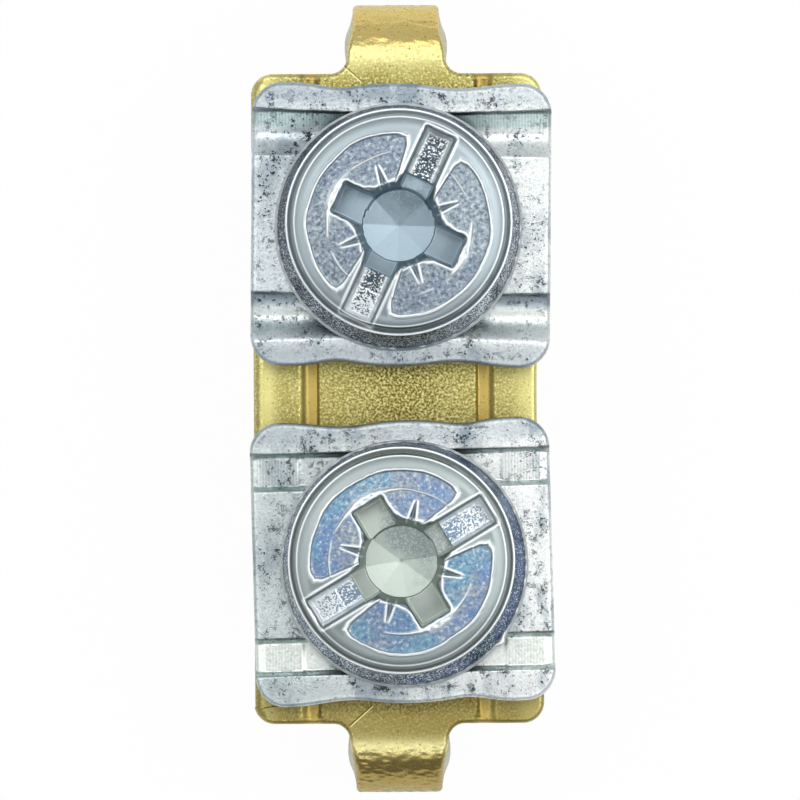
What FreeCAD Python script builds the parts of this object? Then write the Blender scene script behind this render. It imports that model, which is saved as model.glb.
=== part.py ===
import FreeCAD, Part
import math
import os
from types import SimpleNamespace

import Sketcher
from FreeCAD import Placement, Rotation, Vector

# Two-screw neutral terminal. A stamped brass bar stands on a leg bent down at each end. Two pressed steel
# clamp plates are held on it by pan-head screws, and each plate grips a wire on either side of its screw.
# X runs across the bar, Y along it and Z up. The origin is midway between the legs, level with their ends.

# Driving dimensions, in millimetres and degrees
SIZES = {
    # The brass bar
    "bar_length": 21.5,
    "bar_width": 9.6,
    "bar_thickness": 1.2,
    "bar_corner_radius": 0.7,
    "edge_bevel": 0.18,
    "waist_length": 9.0,
    "waist_depth": 0.2,
    "groove_spacing": 5.9,
    "groove_width": 0.7,
    "groove_depth": 0.15,
    # Its legs
    "leg_width": 3.0,
    "leg_drop": 6.4,
    "bend_start": 0.32,
    "bend_radius": 0.85,
    "leg_root_radius": 0.55,
    "leg_end_chamfer": 0.35,
    "leg_end_taper": 0.8,
    # The tapped collars drawn down under it
    "screw_spacing": 11.1,
    "screw_shift": 0.17,
    "collar_diameter": 5.6,
    "collar_drop": 1.2,
    "collar_root_chamfer": 0.35,
    "collar_mouth_chamfer": 0.2,
    "bore_lead_chamfer": 0.25,
    "bore_clearance": 0.05,
    # The clamp plates
    "clamp_overhang": 0.28,
    "clamp_length": 9.35,
    "clamp_thickness": 0.9,
    "clamp_corner_radius": 1.0,
    "clamp_end_bevel": 0.15,
    "clamp_hole_clearance": 0.27,
    "dip_offset": 1.9,
    "dip_length": 3.4,
    "dip_depth": 0.18,
    "channel_margin": 1.6,
    "channel_depth": 0.4,
    "channel_bend_radius": 0.12,
    "upper_channel_width": 1.6,
    "upper_channel_floor": 0.9,
    "upper_clamp_turn": -0.7,
    "lower_channel_width": 1.2,
    "lower_channel_floor": 0.74,
    "lower_clamp_turn": 1.3,
    # The screws
    "thread_diameter": 3.94,
    "thread_pitch": 0.7,
    "thread_depth": 0.34,
    "thread_groove_width": 0.6,
    "screw_length": 8.0,
    "tip_chamfer": 0.6,
    "head_diameter": 8.0,
    "head_foot_height": 0.15,
    "rim_diameter": 7.2,
    "rim_height": 1.5,
    "rim_step": 0.08,
    "shoulder_diameter": 6.7,
    "shoulder_height": 2.1,
    "crown_diameter": 6.1,
    "crown_height": 2.3,
    "head_height": 2.45,
    "slot_length": 6.95,
    "slot_width": 1.3,
    "slot_floor_length": 6.6,
    "slot_floor_width": 0.95,
    "slot_depth": 1.2,
    "recess_diameter": 4.5,
    "recess_floor_diameter": 2.45,
    "recess_depth": 1.9,
    "arm_width": 1.15,
    "arm_floor_width": 0.95,
    "nose_diameter": 2.8,
    "nose_floor_diameter": 1.9,
    "pit_depth": 0.35,
    "tick_start": 1.3,
    "tick_length": 0.9,
    "tick_width": 0.22,
    "tick_depth": 0.17,
    "upper_slot_angle": 65.0,
    "lower_slot_angle": 31.0,
}


class Size:
    """A number together with the sheet expression that gives it, so each formula is written once."""

    def __init__(self, number, text):
        self.number = number
        self.text = text

    def __add__(self, other):
        other = as_size(other)
        return Size(self.number + other.number, f"({self.text} + {other.text})")

    def __sub__(self, other):
        other = as_size(other)
        return Size(self.number - other.number, f"({self.text} - {other.text})")

    def __mul__(self, other):
        other = as_size(other)
        return Size(self.number * other.number, f"{self.text} * {other.text}")

    def __truediv__(self, other):
        other = as_size(other)
        return Size(self.number / other.number, f"{self.text} / ({other.text})")

    def __neg__(self):
        return Size(-self.number, f"-1 * {self.text}")


def as_size(value):
    """A plain number as a Size, and a Size as it is."""
    return value if isinstance(value, Size) else Size(value, str(value))


def root(value):
    """The square root of a Size."""
    return Size(math.sqrt(value.number), f"sqrt({value.text})")


ZERO = Size(0.0, "0")
ARMS = 4
ARM_STEP = 360 / ARMS
THREAD_GROOVES = 5
document = FreeCAD.newDocument("neutral_terminal")
sheet = document.addObject("Spreadsheet::Sheet", "Sizes")
for row, (name, value) in enumerate(SIZES.items(), start=1):
    sheet.set(f"A{row}", name)
    sheet.set(f"B{row}", str(value))
    sheet.setAlias(f"B{row}", name)
document.recompute()
size = SimpleNamespace(**{name: Size(value, "Sizes." + name) for name, value in SIZES.items()})
UPPER_PLACE = size.screw_shift + size.screw_spacing / 2
LOWER_PLACE = size.screw_shift - size.screw_spacing / 2


# Sketches

def new_sketch(body, name, role, lift=ZERO):
    """A sketch on one of the body's own origin planes, moved along that plane's normal by lift."""
    sketch = body.newObject("Sketcher::SketchObject", name)
    plane = next(plane for plane in body.Origin.OriginFeatures if plane.Role == role)
    sketch.AttachmentSupport = [(plane, "")]
    sketch.MapMode = "FlatFace"
    sketch.setExpression(".AttachmentOffset.Base.z", lift.text)
    return sketch


def dimension(sketch, *where, value):
    """A dimension of the sketch, tied to the sheet."""
    index = sketch.addConstraint(Sketcher.Constraint(*where, value.number))
    sketch.setExpression(f"Constraints[{index}]", value.text)


def place_point(sketch, element, end, x=None, y=None):
    """Holds one end of a line, or a centre, at a distance from the sketch's axes."""
    for kind, axis, value in (("DistanceX", -2, x), ("DistanceY", -1, y)):
        if value is None:
            continue
        if value.text == ZERO.text:
            sketch.addConstraint(Sketcher.Constraint("PointOnObject", element, end, axis))
        else:
            dimension(sketch, kind, -1, 1, element, end, value=value)


def draw_circle(sketch, x, y, radius):
    """A circle with its centre and radius held."""
    centre = Vector(x.number, y.number, 0)
    element = sketch.addGeometry(Part.Circle(centre, Vector(0, 0, 1), radius.number))
    dimension(sketch, "Radius", element, value=radius)
    place_point(sketch, element, 3, x, y)


def draw_outline(sketch, corners, bows=None):
    """A closed outline, with its corners given counter-clockwise.

    A corner is (x, y), or (x, y, radius) between a level line and an upright one. bows gives the radius of
    the arc that takes the place of a line, by the number of the corner that it starts from.
    """
    bows = bows or {}
    count = len(corners)
    points = [Vector(corner[0].number, corner[1].number, 0) for corner in corners]
    radii = [corner[2] if len(corner) == 3 else ZERO for corner in corners]
    level = [corners[i][1].text == corners[(i + 1) % count][1].text and i not in bows for i in range(count)]
    upright = [corners[i][0].text == corners[(i + 1) % count][0].text and i not in bows for i in range(count)]
    along = [(points[(i + 1) % count] - points[i]).normalize() for i in range(count)]
    lines = []
    for i in range(count):
        start = points[i] + along[i] * radii[i].number
        end = points[(i + 1) % count] - along[i] * radii[(i + 1) % count].number
        if i in bows:
            half_chord = (end - start).Length / 2
            radius = bows[i].number
            inward = Vector(-along[i].y, along[i].x, 0)
            centre = (start + end) * 0.5 + inward * math.sqrt(radius * radius - half_chord * half_chord)
            first = math.atan2(start.y - centre.y, start.x - centre.x)
            circle = Part.Circle(centre, Vector(0, 0, 1), radius)
            turn = 2 * math.asin(half_chord / radius)
            lines.append(sketch.addGeometry(Part.ArcOfCircle(circle, first, first + turn)))
            dimension(sketch, "Radius", lines[i], value=bows[i])
            continue
        lines.append(sketch.addGeometry(Part.LineSegment(start, end)))
        if level[i]:
            sketch.addConstraint(Sketcher.Constraint("Horizontal", lines[i]))
            place_point(sketch, lines[i], 1, y=corners[i][1])
        if upright[i]:
            sketch.addConstraint(Sketcher.Constraint("Vertical", lines[i]))
            place_point(sketch, lines[i], 1, x=corners[i][0])
    for i in range(count):
        before = i - 1
        if radii[i] is ZERO:
            sketch.addConstraint(Sketcher.Constraint("Coincident", lines[before], 2, lines[i], 1))
            x = None if upright[before] or upright[i] else corners[i][0]
            y = None if level[before] or level[i] else corners[i][1]
            place_point(sketch, lines[i], 1, x, y)
            continue
        radius = radii[i].number
        centre = points[i] - along[before] * radius + along[i] * radius
        left_turn = along[before].cross(along[i]).z > 0
        first = points[i] - along[before] * radius if left_turn else points[i] + along[i] * radius
        start_angle = math.atan2(first.y - centre.y, first.x - centre.x)
        circle = Part.Circle(centre, Vector(0, 0, 1), radius)
        arc = sketch.addGeometry(Part.ArcOfCircle(circle, start_angle, start_angle + math.pi / 2))
        sketch.addConstraint(Sketcher.Constraint("Tangent", lines[before], 2, arc, 1 if left_turn else 2))
        sketch.addConstraint(Sketcher.Constraint("Tangent", lines[i], 1, arc, 2 if left_turn else 1))
        dimension(sketch, "Radius", arc, value=radii[i])


def draw_rectangle(sketch, length, width):
    """A rectangle centred on the sketch's origin."""
    draw_outline(sketch, [
        (-length / 2, -width / 2),
        (length / 2, -width / 2),
        (length / 2, width / 2),
        (-length / 2, width / 2),
    ])


def draw_cross(sketch, span, width):
    """A cross of four like arms, centred on the sketch's origin."""
    far = span / 2
    side = width / 2
    draw_outline(sketch, [
        (far, -side),
        (far, side),
        (side, side),
        (side, far),
        (-side, far),
        (-side, side),
        (-far, side),
        (-far, -side),
        (-side, -side),
        (-side, -far),
        (side, -far),
        (side, -side),
    ])


# Features

def finish(body, feature, cuts=False):
    """Recomputes the body and, for a cut, makes sure that it took something away."""
    before = 0 if body.Shape.isNull() else body.Shape.Volume
    body.Tip = feature
    document.recompute()
    if cuts and body.Shape.Volume > before - 1e-6:
        raise ValueError(f"{feature.Name} takes nothing off {body.Name}")
    return feature


def pad(body, name, sketch, length, both_sides=False, reverse=False):
    """The sketch's outline pushed out by length."""
    feature = body.newObject("PartDesign::Pad", name)
    feature.Profile = sketch
    feature.SideType = "Symmetric" if both_sides else "One side"
    feature.Reversed = reverse
    feature.setExpression("Length", length.text)
    return finish(body, feature)


def pocket(body, name, sketch, depth=None, reverse=False):
    """The sketch's outline cut out, to a depth or else right through both ways."""
    feature = body.newObject("PartDesign::Pocket", name)
    feature.Profile = sketch
    feature.Reversed = reverse
    if depth is None:
        feature.SideType = "Symmetric"
        feature.Type = "ThroughAll"
    else:
        feature.setExpression("Length", depth.text)
    return finish(body, feature, cuts=True)


def revolve(body, kind, name, sketch):
    """The sketch's outline turned about its upright axis, to add or to cut."""
    feature = body.newObject("PartDesign::" + kind, name)
    feature.Profile = sketch
    feature.ReferenceAxis = (sketch, ["V_Axis"])
    return finish(body, feature, cuts=kind == "Groove")


def cut_loft(body, name, floor, mouth):
    """A hollow that widens from one sketch up to another."""
    feature = body.newObject("PartDesign::SubtractiveLoft", name)
    feature.Profile = floor
    feature.Sections = [mouth]
    feature.Ruled = True
    return finish(body, feature, cuts=True)


def mirror(body, name, feature, role):
    """A copy of the feature on the other side of one of the body's origin planes."""
    copy = body.newObject("PartDesign::Mirrored", name)
    copy.Originals = [feature]
    plane = next(plane for plane in body.Origin.OriginFeatures if plane.Role == role)
    copy.MirrorPlane = (plane, [""])
    return finish(body, copy)


def dress(body, kind, name, amount, wanted):
    """A fillet or chamfer on each edge of the body for which wanted is true."""
    base = body.Tip
    edges = [f"Edge{i}" for i, edge in enumerate(base.Shape.Edges, start=1)
             if not edge.Degenerated and wanted(edge)]
    feature = body.newObject("PartDesign::" + kind, name)
    feature.Base = (base, edges)
    feature.setExpression("Radius" if kind == "Fillet" else "Size", amount.text)
    return finish(body, feature)


def near(first, second):
    """True for two lengths that are the same but for rounding."""
    return abs(first - second) < 1e-4


def runs_along(edge, direction):
    """True for a straight edge parallel to a direction."""
    return edge.Curve.TypeId == "Part::GeomLine" and near(abs(edge.Curve.Direction.dot(direction)), 1)


def is_ring(edge, radius, height):
    """True for a round edge of a given radius about an upright axis, at a given height."""
    if edge.Curve.TypeId != "Part::GeomCircle":
        return False
    return near(edge.Curve.Radius, radius.number) and near(edge.Curve.Center.z, height.number)


# Brass bar

def dip_circle(length, depth):
    """The radius of a circle that cuts a dip of a given length and depth into an edge."""
    return length * length / (depth * 8) + depth / 2


def make_bar():
    """The stamped bar: a strip bent down at both ends, cut to its outline, with two drawn collars."""
    body = document.addObject("PartDesign::Body", "TerminalBar")
    body.Label = "terminal_bar"
    top = size.leg_drop + size.bar_thickness
    bend = size.bar_length / 2 + size.bend_start
    inner_face = bend + size.bend_radius
    outer_face = inner_face + size.bar_thickness
    outer_radius = size.bend_radius + size.bar_thickness

    side = new_sketch(body, "StripSide", "YZ_Plane")
    draw_outline(side, [
        (outer_face, ZERO),
        (outer_face, top, outer_radius),
        (-outer_face, top, outer_radius),
        (-outer_face, ZERO),
        (-inner_face, ZERO),
        (-inner_face, size.leg_drop, size.bend_radius),
        (inner_face, size.leg_drop, size.bend_radius),
        (inner_face, ZERO),
    ])
    pad(body, "Strip", side, size.bar_width, both_sides=True)

    half_width = size.bar_width / 2
    half_length = size.bar_length / 2
    half_leg = size.leg_width / 2
    past_leg = outer_face + size.bar_thickness
    past_side = half_width + size.bar_thickness
    trim = new_sketch(body, "OutlineTrim", "XY_Plane")
    draw_outline(trim, [
        (past_side, -past_leg),
        (past_side, past_leg),
        (half_leg, past_leg),
        (half_leg, half_length, size.leg_root_radius),
        (half_width, half_length, size.bar_corner_radius),
        (half_width, -half_length, size.bar_corner_radius),
        (half_leg, -half_length, size.leg_root_radius),
        (half_leg, -past_leg),
    ])
    right = pocket(body, "RightTrim", trim)
    mirror(body, "LeftTrim", right, "YZ_Plane")

    waist = new_sketch(body, "WaistOutline", "XY_Plane")
    waist_radius = dip_circle(size.waist_length, size.waist_depth)
    draw_circle(waist, half_width - size.waist_depth + waist_radius, ZERO, waist_radius)
    pocket(body, "Waist", waist)

    def on_outer_skin(edge):
        """True for an edge of the strip's upper and outer skin that follows the outline."""
        middle = edge.valueAt((edge.FirstParameter + edge.LastParameter) / 2)
        past_bend = abs(middle.y) - bend.number
        below_bend = top.number - outer_radius.number - middle.z
        if past_bend <= 0:
            return near(middle.z, top.number)
        if below_bend >= 0:
            return near(past_bend, outer_radius.number) and middle.z > 1e-4
        is_across = runs_along(edge, Vector(1, 0, 0))
        return abs(math.hypot(past_bend, below_bend) - outer_radius.number) < 0.02 and not is_across

    dress(body, "Chamfer", "EdgeBevel", size.edge_bevel, on_outer_skin)

    groove = new_sketch(body, "GrooveSection", "XZ_Plane")
    groove_radius = dip_circle(size.groove_width, size.groove_depth)
    draw_circle(groove, size.groove_spacing / 2, top - size.groove_depth + groove_radius, groove_radius)
    right_groove = pocket(body, "RightGroove", groove)
    mirror(body, "LeftGroove", right_groove, "YZ_Plane")

    taper = new_sketch(body, "LegEndTaper", "XZ_Plane")
    draw_outline(taper, [
        (half_leg - size.leg_end_chamfer, ZERO),
        (past_side, ZERO),
        (past_side, size.leg_end_taper),
        (half_leg, size.leg_end_taper),
    ])
    right_taper = pocket(body, "RightLegTaper", taper)
    mirror(body, "LeftLegTaper", right_taper, "YZ_Plane")

    collar = new_sketch(body, "CollarOutline", "XY_Plane", lift=size.leg_drop)
    draw_circle(collar, ZERO, UPPER_PLACE, size.collar_diameter / 2)
    draw_circle(collar, ZERO, LOWER_PLACE, size.collar_diameter / 2)
    pad(body, "Collars", collar, size.collar_drop, reverse=True)
    dress(body, "Chamfer", "CollarRoots", size.collar_root_chamfer,
          lambda edge: is_ring(edge, size.collar_diameter / 2, size.leg_drop))

    bore = new_sketch(body, "BoreOutline", "XY_Plane")
    bore_radius = size.thread_diameter / 2 + size.bore_clearance
    draw_circle(bore, ZERO, UPPER_PLACE, bore_radius)
    draw_circle(bore, ZERO, LOWER_PLACE, bore_radius)
    pocket(body, "Bores", bore)
    dress(body, "Chamfer", "BoreLeads", size.bore_lead_chamfer,
          lambda edge: is_ring(edge, bore_radius, top))
    dress(body, "Chamfer", "BoreMouths", size.collar_mouth_chamfer,
          lambda edge: is_ring(edge, bore_radius, size.leg_drop - size.collar_drop))
    return body


# Steel clamp plates

def make_clamp(name, label, channel_width, channel_floor, place, turn):
    """A pressed plate with a channel across it on either side of the screw hole, and a rib under each.

    Its left side is flush with the bar's, and its right side hangs over.
    """
    body = document.addObject("PartDesign::Body", name)
    body.Label = label
    underside = size.channel_depth
    top = underside + size.clamp_thickness
    width = size.bar_width + size.clamp_overhang
    half_length = size.clamp_length / 2

    slope = (channel_width - channel_floor) / 2
    steepness = (root(slope * slope + size.channel_depth * size.channel_depth) - slope) / size.channel_depth
    rib_spread = size.clamp_thickness * steepness
    channel = half_length - size.channel_margin
    mouth = channel_width / 2
    floor = channel_floor / 2
    far_rib = [
        (channel - mouth - rib_spread, underside),
        (channel - floor - rib_spread, ZERO),
        (channel + floor + rib_spread, ZERO),
        (channel + mouth + rib_spread, underside),
    ]
    far_channel = [
        (channel + mouth, top),
        (channel + floor, top - size.channel_depth),
        (channel - floor, top - size.channel_depth),
        (channel - mouth, top),
    ]
    near_rib = [(-y, z) for y, z in reversed(far_rib)]
    near_channel = [(-y, z) for y, z in reversed(far_channel)]
    section = new_sketch(body, "PressedSection", "YZ_Plane")
    near_end = [(-half_length, top), (-half_length, underside)]
    far_end = [(half_length, underside), (half_length, top)]
    draw_outline(section, near_end + near_rib + far_rib + far_end + far_channel + near_channel)
    pad(body, "PressedPlate", section, width, both_sides=True)

    dress(body, "Fillet", "Corners", size.clamp_corner_radius,
          lambda edge: runs_along(edge, Vector(0, 0, 1)))
    dips = new_sketch(body, "EndDipOutline", "XY_Plane")
    dip_radius = dip_circle(size.dip_length, size.dip_depth)
    dip_centre = half_length - size.dip_depth + dip_radius
    draw_circle(dips, size.dip_offset, dip_centre, dip_radius)
    draw_circle(dips, size.dip_offset, -dip_centre, dip_radius)
    right_dips = pocket(body, "RightEndDips", dips)
    mirror(body, "LeftEndDips", right_dips, "YZ_Plane")

    def on_upper_end(edge):
        """True for an edge of the upper face beyond the channels."""
        nearest = min(abs(vertex.Point.y) for vertex in edge.Vertexes)
        box = edge.BoundBox
        is_level = abs(box.ZMin - top.number) < 1e-3 and abs(box.ZMax - top.number) < 1e-3
        is_channel_lip = runs_along(edge, Vector(1, 0, 0)) and near(nearest, (channel + mouth).number)
        return is_level and nearest > (channel + mouth).number - 1e-3 and not is_channel_lip

    dress(body, "Chamfer", "EndBevel", size.clamp_end_bevel, on_upper_end)
    bends = [y.number for y, z in far_rib + far_channel]
    dress(body, "Fillet", "ChannelBends", size.channel_bend_radius,
          lambda edge: runs_along(edge, Vector(1, 0, 0))
          and any(near(abs(edge.Vertexes[0].Point.y), y) for y in bends))

    hole = new_sketch(body, "ScrewHole", "XY_Plane")
    draw_circle(hole, ZERO, ZERO, size.thread_diameter / 2 + size.clamp_hole_clearance)
    pocket(body, "Hole", hole)

    body.setExpression("Placement.Base.x", (size.clamp_overhang / 2).text)
    body.setExpression("Placement.Base.y", place.text)
    body.setExpression("Placement.Base.z", (size.leg_drop + size.bar_thickness).text)
    body.setExpression("Placement.Rotation.Angle", turn.text)
    return body


# Screws

def make_screw(name, label, place, turn):
    """A pan-head screw, turned about its axis, with a slot and a ticked cross recess in its head.

    Ring grooves at the thread's pitch stand for the thread on its shank.
    """
    body = document.addObject("PartDesign::Body", name)
    body.Label = label
    thread = size.thread_diameter / 2
    rim = size.rim_diameter / 2
    crown = size.crown_diameter / 2
    crown_rise = size.head_height - size.crown_height
    profile = new_sketch(body, "ScrewProfile", "XZ_Plane")
    crown_edge = (crown, size.crown_height)
    corners = [
        (ZERO, -size.screw_length),
        (thread - size.tip_chamfer, -size.screw_length),
    ]
    for groove in range(THREAD_GROOVES):
        start = size.tip_chamfer - size.screw_length + size.thread_pitch * groove
        corners += [
            (thread, start),
            (thread - size.thread_depth, start + size.thread_groove_width / 2),
            (thread, start + size.thread_groove_width),
        ]
    corners += [
        (thread, ZERO),
        (size.head_diameter / 2, ZERO),
        (size.head_diameter / 2, size.head_foot_height),
        (rim, size.rim_height),
        (rim - size.rim_step, size.rim_height),
        (size.shoulder_diameter / 2, size.shoulder_height),
        crown_edge,
        (ZERO, size.head_height),
    ]
    crown_radius = (crown * crown + crown_rise * crown_rise) / (crown_rise * 2)
    draw_outline(profile, corners, bows={corners.index(crown_edge): crown_radius})
    revolve(body, "Revolution", "HeadAndShank", profile)

    slot_floor = new_sketch(body, "SlotFloor", "XY_Plane", lift=size.head_height - size.slot_depth)
    draw_rectangle(slot_floor, size.slot_floor_length, size.slot_floor_width)
    slot_mouth = new_sketch(body, "SlotMouth", "XY_Plane", lift=size.head_height)
    draw_rectangle(slot_mouth, size.slot_length, size.slot_width)
    cut_loft(body, "Slot", slot_floor, slot_mouth)

    recess_bottom = size.head_height - size.recess_depth
    arms_floor = new_sketch(body, "ArmsFloor", "XY_Plane", lift=recess_bottom)
    draw_cross(arms_floor, size.recess_floor_diameter, size.arm_floor_width)
    arms_mouth = new_sketch(body, "ArmsMouth", "XY_Plane", lift=size.head_height)
    draw_cross(arms_mouth, size.recess_diameter, size.arm_width)
    cut_loft(body, "RecessArms", arms_floor, arms_mouth)

    well = new_sketch(body, "WellProfile", "XZ_Plane")
    draw_outline(well, [
        (ZERO, recess_bottom - size.pit_depth),
        (size.nose_floor_diameter / 2, recess_bottom),
        (size.nose_diameter / 2, size.head_height),
        (ZERO, size.head_height),
    ])
    revolve(body, "Groove", "RecessWell", well)

    tick_outline = new_sketch(body, "TickOutline", "XY_Plane", lift=size.head_height)
    tick_outline.AttachmentOffset = Placement(Vector(), Rotation(Vector(0, 0, 1), ARM_STEP / 2))
    half_tick = size.tick_width / 2
    draw_outline(tick_outline, [
        (size.tick_start, -half_tick),
        (size.tick_start + size.tick_length, -half_tick),
        (size.tick_start + size.tick_length, half_tick),
        (size.tick_start, half_tick),
    ])
    tick = pocket(body, "Tick", tick_outline, depth=size.tick_depth)
    ticks = body.newObject("PartDesign::PolarPattern", "Ticks")
    ticks.Originals = [tick]
    ticks.Axis = (tick_outline, ["N_Axis"])
    ticks.Angle = 360
    ticks.Occurrences = ARMS
    finish(body, ticks, cuts=True)

    body.setExpression("Placement.Base.y", place.text)
    body.setExpression("Placement.Base.z",
                       (size.leg_drop + size.bar_thickness + size.channel_depth + size.clamp_thickness).text)
    body.setExpression("Placement.Rotation.Angle", turn.text)
    return body


bodies = [
    make_bar(),
    make_clamp("UpperClamp", "upper_clamp", size.upper_channel_width, size.upper_channel_floor,
               UPPER_PLACE, size.upper_clamp_turn),
    make_clamp("LowerClamp", "lower_clamp", size.lower_channel_width, size.lower_channel_floor,
               LOWER_PLACE, size.lower_clamp_turn),
    make_screw("UpperScrew", "upper_screw", UPPER_PLACE, size.upper_slot_angle),
    make_screw("LowerScrew", "lower_screw", LOWER_PLACE, size.lower_slot_angle),
]
document.recompute()

# Checks before anything is written

for item in document.Objects:
    if "Invalid" in item.State or "Error" in item.State:
        raise ValueError(f"{item.Name} failed: {item.State}")
for body in bodies:
    if body.Shape.isNull() or not body.Shape.isValid() or len(body.Shape.Solids) != 1:
        raise ValueError(f"{body.Label} is not one sound solid")

os.makedirs("parts", exist_ok=True)
for body in bodies:
    body.Shape.exportStep(f"parts/{body.Label}.step")
    box = body.Shape.optimalBoundingBox()
    print(f"{body.Label}: {body.Shape.Volume:.2f} mm3, {len(body.Shape.Faces)} faces,"
          f" x {box.XMin:.2f} to {box.XMax:.2f}, y {box.YMin:.2f} to {box.YMax:.2f},"
          f" z {box.ZMin:.2f} to {box.ZMax:.2f}")
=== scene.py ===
import math

import bmesh
import bpy
import numpy as np
from mathutils import Matrix


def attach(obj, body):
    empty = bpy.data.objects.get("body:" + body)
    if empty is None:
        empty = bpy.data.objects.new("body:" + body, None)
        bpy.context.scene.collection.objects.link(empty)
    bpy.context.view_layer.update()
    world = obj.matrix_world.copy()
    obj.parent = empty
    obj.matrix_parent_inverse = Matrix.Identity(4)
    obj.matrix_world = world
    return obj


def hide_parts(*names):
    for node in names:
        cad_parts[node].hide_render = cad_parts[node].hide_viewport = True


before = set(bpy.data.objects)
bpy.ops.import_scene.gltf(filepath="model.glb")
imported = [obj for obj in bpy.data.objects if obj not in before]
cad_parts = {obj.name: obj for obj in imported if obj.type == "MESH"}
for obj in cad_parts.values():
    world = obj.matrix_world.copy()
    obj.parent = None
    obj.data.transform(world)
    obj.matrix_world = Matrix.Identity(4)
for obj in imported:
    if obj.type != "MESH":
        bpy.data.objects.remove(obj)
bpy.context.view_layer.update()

# Neutral terminal: a brass bar on two bent legs carries two clamp plates, each held down by a screw.
# Shapes are worked out in millimetres and put into the meshes in metres, in the frame of the solids.


# Brass bar
# A strip of half-hard brass, 1.2 mm thick. The press cuts its outline with a narrow leg at each end, rolls
# two grooves along it, draws two tapped collars down out of it and bends the legs down. The bar lies on the
# ribs of its housing, and the legs stand in slots.

strip_top = 7.6
strip_thickness = 1.2
strip_half_width = 4.8
left_inset = 0.04
shoulder_along = 10.75
corner_radius = 0.7
waist_inset = 0.2
waist_half_length = 4.5
leg_root_radius = 0.55
leg_half_width = 1.43
leg_flare = 0.2
leg_flare_length = 1.3
bend_start = 11.07
bend_outer_radius = 2.05
bend_length = bend_outer_radius * math.pi / 2
leg_end_along = bend_start + bend_length + strip_top - bend_outer_radius
leg_end_radius = 0.5
edge_roll = 0.17
left_edge_roll = 0.34
underside_roll = 0.08
side_swell = 0.25
groove_depth = 0.15
groove_inner_wall = (2.58, 2.66)
groove_outer_wall = (2.94, 3.28)
groove_end = (10.9, 11.0)
stretch_start = (11.1, 11.9)
stretch_end = (14.0, 15.2)
bore_radius = 2.02
bore_thread_depth = 0.26
bore_lead_depth = 0.25
thread_pitch = 0.7
thread_points = 72
skin_clearance = 0.008
screw_places = {"upper": 5.72, "lower": -5.38}
scratch_half_width = 0.02
# Each scratch is a dark line of painted shade beside a bright line of painted highlight.
scratches = {
    "upper_root_shaded_side": (-1.72, 11.02, -1.14, 10.52, "#8d8448"),
    "upper_root_lit_side": (-1.75, 10.98, -1.17, 10.48, "#f4efb4"),
    "lower_root_lit_side": (-0.86, -10.17, -1.62, -10.85, "#efe3a2"),
    "lower_root_shaded_side": (-0.89, -10.14, -1.65, -10.82, "#5b4c22"),
}


def ease(value, start, end):
    """Rises from 0 at start to 1 at end along the cubic 3t^2 - 2t^3."""
    t = np.clip((value - start) / (end - start), 0.0, 1.0)
    return t * t * (3.0 - 2.0 * t)


def bump_at(value, centre, spread):
    """A bell curve of height 1: exp(-((value - centre) / spread)^2)."""
    return np.exp(-(((value - centre) / spread) ** 2))


def ripple(x, y, wavelength, seed):
    """An uneven surface between about -1 and 1: the sum of seven plane waves at angles of their own."""
    total = np.zeros(np.broadcast(x, y).shape)
    for wave in range(7):
        angle = 2.4 * wave + seed
        pace = 2.0 * math.pi / (wavelength * (0.75 + 0.1 * wave))
        total += np.sin(pace * (x * math.cos(angle) + y * math.sin(angle)) + 1.7 * wave * wave + seed)
    return total / 4.0


def make_piece(name, shells):
    """A mesh of closed shells. A shell is (rings, marks), and rings is ring by point by xyz in millimetres.

    Each ring joins the next by a band of quads, and points that meet are merged, so a ring that is drawn in
    to one point closes a pole. marks holds shares from 0 to 1 on the same grid, kept as point attributes.
    """
    points = np.concatenate([rings.reshape(-1, 3) for rings, marks in shells])
    quads = []
    first = 0
    for rings, marks in shells:
        count, around = rings.shape[:2]
        index = first + np.arange(count * around).reshape(count, around)
        beside = np.roll(index, -1, axis=1)
        quads.append(np.stack([index[:-1], beside[:-1], beside[1:], index[1:]], axis=-1).reshape(-1, 4))
        first += count * around
    quads = np.concatenate(quads).astype(np.int32)
    mesh = bpy.data.meshes.new(name)
    mesh.vertices.add(len(points))
    mesh.vertices.foreach_set("co", (points * 0.001).astype(np.float32).ravel())
    mesh.loops.add(quads.size)
    mesh.loops.foreach_set("vertex_index", quads.ravel())
    mesh.polygons.add(len(quads))
    mesh.polygons.foreach_set("loop_start", np.arange(0, quads.size, 4, dtype=np.int32))
    for mark in shells[0][1]:
        shares = [np.broadcast_to(marks[mark], rings.shape[:2]).ravel() for rings, marks in shells]
        shares = np.concatenate(shares).astype(np.float32)
        mesh.attributes.new(mark, "FLOAT", "POINT").data.foreach_set("value", shares)
    mesh.update(calc_edges=True)
    merged = bmesh.new()
    merged.from_mesh(mesh)
    bmesh.ops.remove_doubles(merged, verts=merged.verts, dist=1e-7)
    bmesh.ops.recalc_face_normals(merged, faces=merged.faces)
    merged.to_mesh(mesh)
    merged.free()
    mesh.polygons.foreach_set("use_smooth", np.ones(len(mesh.polygons), dtype=bool))
    mesh.update()
    piece = bpy.data.objects.new(name, mesh)
    bpy.context.scene.collection.objects.link(piece)
    return piece


def bend_strip(x, along, depth):
    """The flat strip wrapped over its two bends. along is measured on the outer skin, and depth under it.

    Up to the bend the strip is straight. Round the bend a point keeps its distance from the bend's centre,
    which is the outer radius less the depth. After a quarter turn the leg goes straight down.
    """
    past = np.abs(along) - bend_start
    angle = np.clip(past, 0.0, bend_length) / bend_outer_radius
    radius = bend_outer_radius - depth
    y = np.minimum(np.abs(along), bend_start) + radius * np.sin(angle)
    z = strip_top - bend_outer_radius + radius * np.cos(angle) - np.maximum(past - bend_length, 0.0)
    return np.stack([x, np.sign(along) * y, z], axis=-1)


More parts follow.
